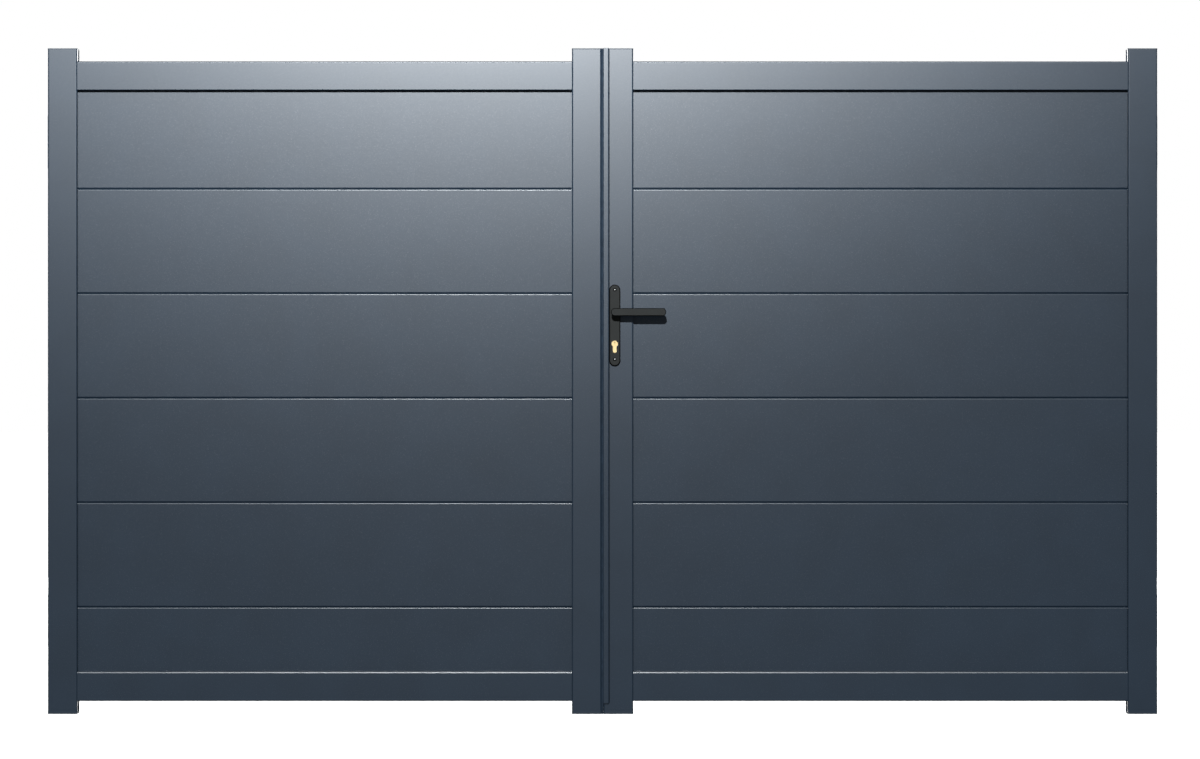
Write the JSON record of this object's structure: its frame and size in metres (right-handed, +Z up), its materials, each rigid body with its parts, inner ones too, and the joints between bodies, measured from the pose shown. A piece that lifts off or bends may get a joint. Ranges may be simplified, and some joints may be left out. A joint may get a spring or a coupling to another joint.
{
  "type": "double swing gate",
  "caption": "Closed-board double-leaf aluminium swing gate in anthracite, with a black lever handle set and rear pin hinges.",
  "frame": {"origin": "middle of the lower left hinge plate, on the face that meets the pillar", "axes": "+X along the closed gate to the right, +Y away from its front face, +Z up"},
  "size_m": [3.016, 0.173, 1.8],
  "materials": {
    "anthracite_aluminium": "satin",
    "anthracite_plastic": "matte",
    "black_aluminium": "satin",
    "black_steel": "satin",
    "black_rubber": "matte",
    "plain_steel": "satin",
    "brass": "satin"
  },
  "bodies": {
    "pillar_fixings": {"lower_left_hinge_bracket": "black_steel", "upper_left_hinge_bracket": "black_steel", "lower_right_hinge_bracket": "black_steel", "upper_right_hinge_bracket": "black_steel"},
    "left_leaf": {"left_hinge_stile": "anthracite_aluminium", "left_meeting_stile": "anthracite_aluminium", "left_top_rail": "anthracite_aluminium", "left_bottom_rail": "anthracite_aluminium", "left_board_1": "anthracite_aluminium", "left_board_2": "anthracite_aluminium", "left_board_3": "anthracite_aluminium", "left_board_4": "anthracite_aluminium", "left_board_5": "anthracite_aluminium", "left_board_6": "anthracite_aluminium", "left_stile_caps": "anthracite_plastic", "lower_left_hinge_eye": "black_steel", "upper_left_hinge_eye": "black_steel", "meeting_seal": "black_rubber", "strike_plate": "plain_steel"},
    "right_leaf": {"right_hinge_stile": "anthracite_aluminium", "right_meeting_stile": "anthracite_aluminium", "right_top_rail": "anthracite_aluminium", "right_bottom_rail": "anthracite_aluminium", "right_board_1": "anthracite_aluminium", "right_board_2": "anthracite_aluminium", "right_board_3": "anthracite_aluminium", "right_board_4": "anthracite_aluminium", "right_board_5": "anthracite_aluminium", "right_board_6": "anthracite_aluminium", "right_stile_caps": "anthracite_plastic", "lower_right_hinge_eye": "black_steel", "upper_right_hinge_eye": "black_steel", "meeting_strip": "anthracite_aluminium", "front_handle_plate": "black_aluminium", "back_handle_plate": "black_aluminium", "lock_cylinder": "brass", "lock_case": "plain_steel", "lock_faceplate": "plain_steel", "lock_bolts": "plain_steel"},
    "lever_set": {"front_lever": "black_aluminium", "back_lever": "black_aluminium", "lever_spindle": "plain_steel"}
  },
  "joints": [
    {"name": "left_leaf_swing", "type": "hinge", "parent": "pillar_fixings", "child": "left_leaf", "pos_m": [0.023, -0.018, 0], "axis": [0, 0, 1], "range_deg": [0, 90]},
    {"name": "right_leaf_swing", "type": "hinge", "parent": "pillar_fixings", "child": "right_leaf", "pos_m": [2.993, -0.018, 0], "axis": [0, 0, -1], "range_deg": [0, 90]},
    {"name": "lever_turn", "type": "hinge", "parent": "right_leaf", "child": "lever_set", "pos_m": [1.541, -0.063, 0.836], "axis": [0, 1, 0], "range_deg": [0, 45], "stiffness_Nm_per_rad": 1.5, "springref_deg": -34.38}
  ]
}
